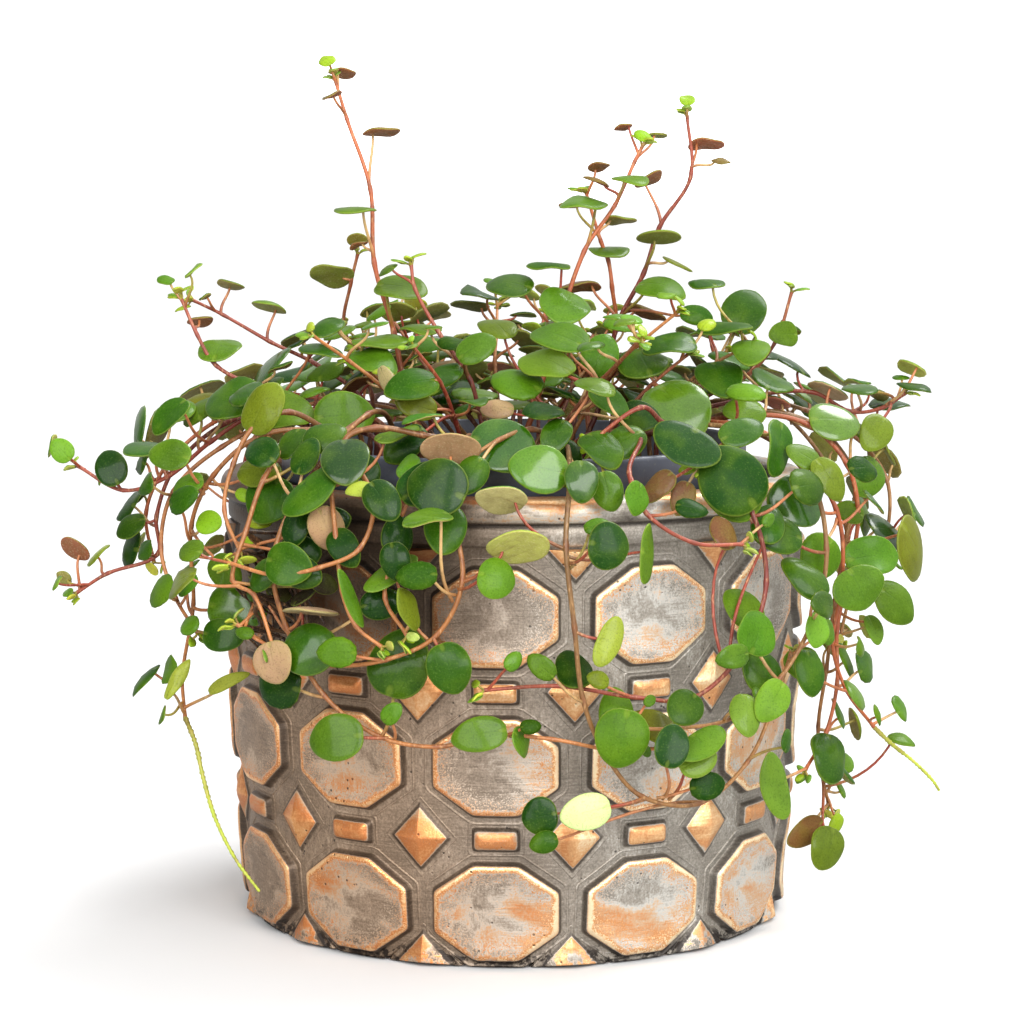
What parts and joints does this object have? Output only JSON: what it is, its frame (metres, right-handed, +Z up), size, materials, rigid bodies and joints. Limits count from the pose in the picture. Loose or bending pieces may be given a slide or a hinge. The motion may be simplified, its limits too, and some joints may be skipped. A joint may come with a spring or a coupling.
{
  "type": "potted pepperspot peperomia",
  "caption": "Trailing peperomia with round thick leaves on branching stems, rooted in a plastic grow pot that stands inside a round relief-tiled planter.",
  "frame": {"origin": "centre of the planter's flat underside, where it stands", "axes": "+Z up, -Y towards the front of the plant, +X to its right seen from the front"},
  "size_m": [0.2297, 0.1944, 0.2211],
  "materials": {
    "planter": "metallic copper and dark grey glaze, brushed and worn",
    "grow_pot": "satin",
    "soil": "loose crumb",
    "foliage": "thick waxy leaves, glossy above and matter below"
  },
  "bodies": {
    "root": {"planter": "planter", "grow_pot": "grow_pot", "soil": "soil", "tall_shoot_left": "foliage", "tall_shoot_middle": "foliage", "tall_shoot_right": "foliage", "tall_shoot_inner": "foliage", "shoot_right_back": "foliage", "shoot_left_low": "foliage", "shoot_left_curl": "foliage", "shoot_front_red": "foliage", "shoot_left_inner": "foliage", "trail_left_heart": "foliage", "trail_left_far": "foliage", "trail_left_hook": "foliage", "trail_left_fold": "foliage", "trail_left_side": "foliage", "trail_front_arc": "foliage", "trail_front_left": "foliage", "trail_front_loop": "foliage", "trail_front_red": "foliage", "trail_front_short": "foliage", "trail_right_front": "foliage", "trail_right_long": "foliage", "trail_right_low": "foliage", "trail_right_spike": "foliage", "trail_right_high": "foliage", "trail_right_broad": "foliage", "trail_right_side": "foliage", "trail_back_1": "foliage", "trail_back_2": "foliage", "trail_back_3": "foliage", "trail_back_4": "foliage", "trail_back_5": "foliage", "trail_back_6": "foliage", "trail_back_7": "foliage", "trail_back_8": "foliage", "trail_back_9": "foliage", "shoot_fill_1": "foliage", "shoot_fill_2": "foliage", "shoot_fill_3": "foliage", "shoot_fill_4": "foliage", "shoot_fill_5": "foliage", "shoot_fill_6": "foliage", "shoot_fill_7": "foliage", "shoot_fill_8": "foliage", "shoot_fill_9": "foliage", "shoot_fill_10": "foliage", "shoot_fill_11": "foliage", "shoot_fill_12": "foliage", "shoot_fill_13": "foliage", "shoot_fill_14": "foliage", "shoot_fill_15": "foliage", "shoot_fill_16": "foliage", "shoot_fill_17": "foliage", "shoot_fill_18": "foliage", "shoot_fill_19": "foliage", "shoot_fill_20": "foliage"}
  },
  "joints": []
}
